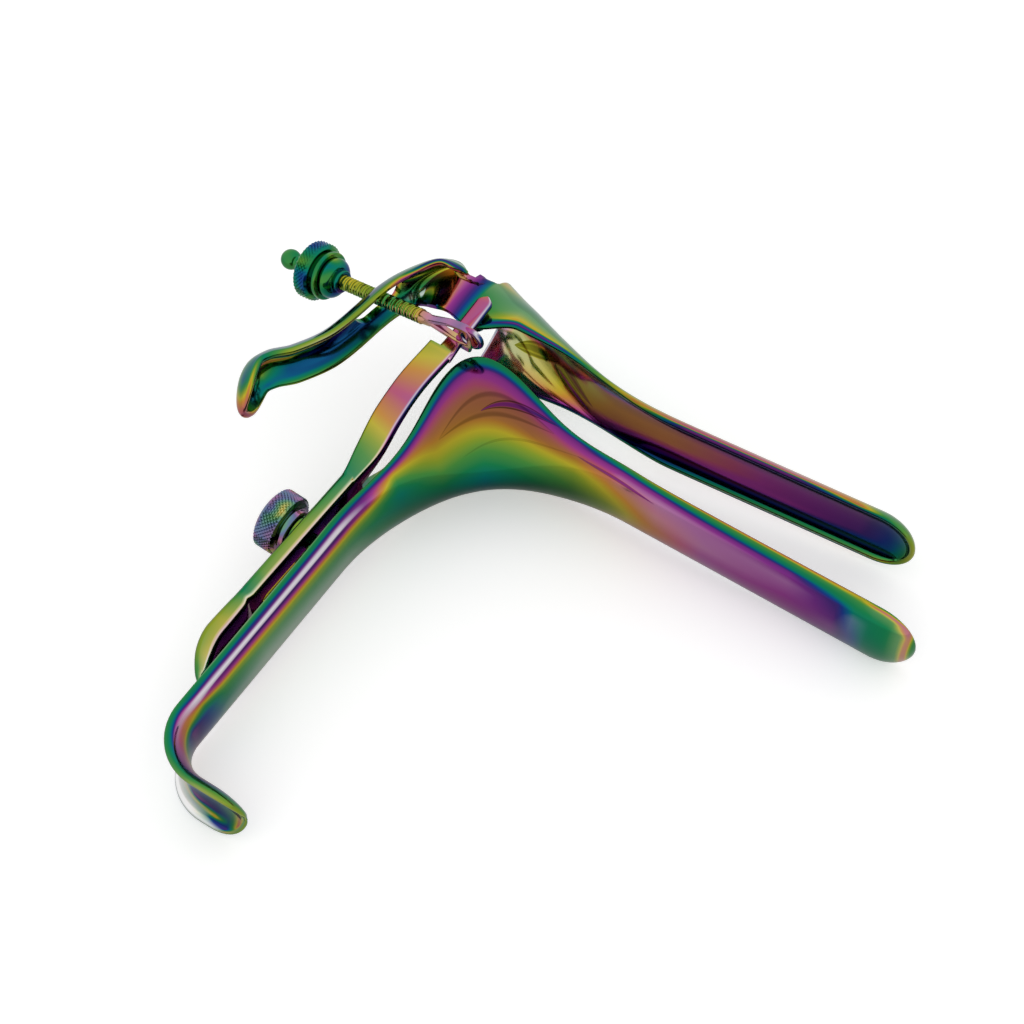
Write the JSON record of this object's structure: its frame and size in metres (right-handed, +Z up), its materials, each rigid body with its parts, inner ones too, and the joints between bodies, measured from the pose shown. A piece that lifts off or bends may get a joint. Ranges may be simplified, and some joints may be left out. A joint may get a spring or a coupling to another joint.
{
  "type": "vaginal speculum",
  "caption": "Two-blade vaginal speculum in polished metal with a rainbow film: hinged upper blade with thumb lever, sliding frame, lower blade with hooked handle, knurled screw nuts.",
  "frame": {"origin": "centre of the bounding box's bottom face, on the surface that the instrument lies on", "axes": "+X from the handle side to the blade tips, +Y from the lower blade to the upper blade and the mouth, +Z up, towards the side that carries the lever and its screw"},
  "size_m": [0.1674, 0.1424, 0.0394],
  "materials": {
    "lower_blade": "mirror polish with a rainbow oxide film",
    "handle_stud": "mirror polish with a rainbow oxide film",
    "frame": "mirror polish with a rainbow oxide film",
    "hinge_pin_near": "mirror polish with a rainbow oxide film",
    "hinge_pin_far": "mirror polish with a rainbow oxide film",
    "upper_blade": "mirror polish with a rainbow oxide film",
    "lever_screw": "mirror polish with a rainbow oxide film",
    "screw_end_ball": "mirror polish with a rainbow oxide film",
    "lever_nut": "mirror polish with a rainbow oxide film",
    "lever_nut_seat": "mirror polish with a rainbow oxide film",
    "handle_washer": "mirror polish with a rainbow oxide film",
    "handle_nut": "mirror polish with a rainbow oxide film"
  },
  "bodies": {
    "handle": {"lower_blade": "lower_blade", "handle_stud": "handle_stud"},
    "slide_frame": {"frame": "frame", "hinge_pin_near": "hinge_pin_near", "hinge_pin_far": "hinge_pin_far"},
    "blade_lever": {"upper_blade": "upper_blade"},
    "swing_screw": {"lever_screw": "lever_screw", "screw_end_ball": "screw_end_ball"},
    "seat": {"lever_nut_seat": "lever_nut_seat"},
    "nut": {"lever_nut": "lever_nut"},
    "washer": {"handle_washer": "handle_washer"},
    "clamp_nut": {"handle_nut": "handle_nut"}
  },
  "joints": [
    {"name": "frame_slide", "type": "slide", "parent": "handle", "child": "slide_frame", "axis": [0.0558, 0.9972, 0.0498], "range_m": [-0.001, 0.016]},
    {"name": "blade_hinge", "type": "hinge", "parent": "slide_frame", "child": "blade_lever", "pos_m": [-0.03525, 0.05291, 0.01749], "axis": [0.0666, -0.0535, 0.9963], "range_deg": [-9.5, 17]},
    {"name": "screw_swing", "type": "hinge", "parent": "slide_frame", "child": "swing_screw", "pos_m": [-0.0298, 0.04338, 0.03608], "axis": [0.0666, -0.0535, 0.9963], "range_deg": [-8.1, 14.5]},
    {"name": "seat_slide", "type": "slide", "parent": "swing_screw", "child": "seat", "axis": [0.9856, -0.0582, 0.1588], "range_m": [-0.0026, 0.0066]},
    {"name": "nut_turn", "type": "hinge", "parent": "seat", "child": "nut", "pos_m": [-0.0298, 0.04338, 0.03608], "axis": [0.9856, -0.0582, 0.1588], "range_deg": [-1125, 2925]},
    {"name": "washer_slide", "type": "slide", "parent": "handle", "child": "washer", "axis": [-0.9962, 0.0523, 0.0694], "range_m": [0, 0.0031]},
    {"name": "clamp_nut_turn", "type": "hinge", "parent": "washer", "child": "clamp_nut", "pos_m": [-0.04112, -0.00751, 0.01464], "axis": [-0.9962, 0.0523, 0.0694], "range_deg": [0, 1350]}
  ],
  "couplings": [
    {"joint": "screw_swing", "follows": "blade_hinge", "ratio": 0.85},
    {"joint": "seat_slide", "follows": "nut_turn", "m_per_rad": 0.00012732},
    {"joint": "washer_slide", "follows": "clamp_nut_turn", "m_per_rad": 0.00012732}
  ]
}
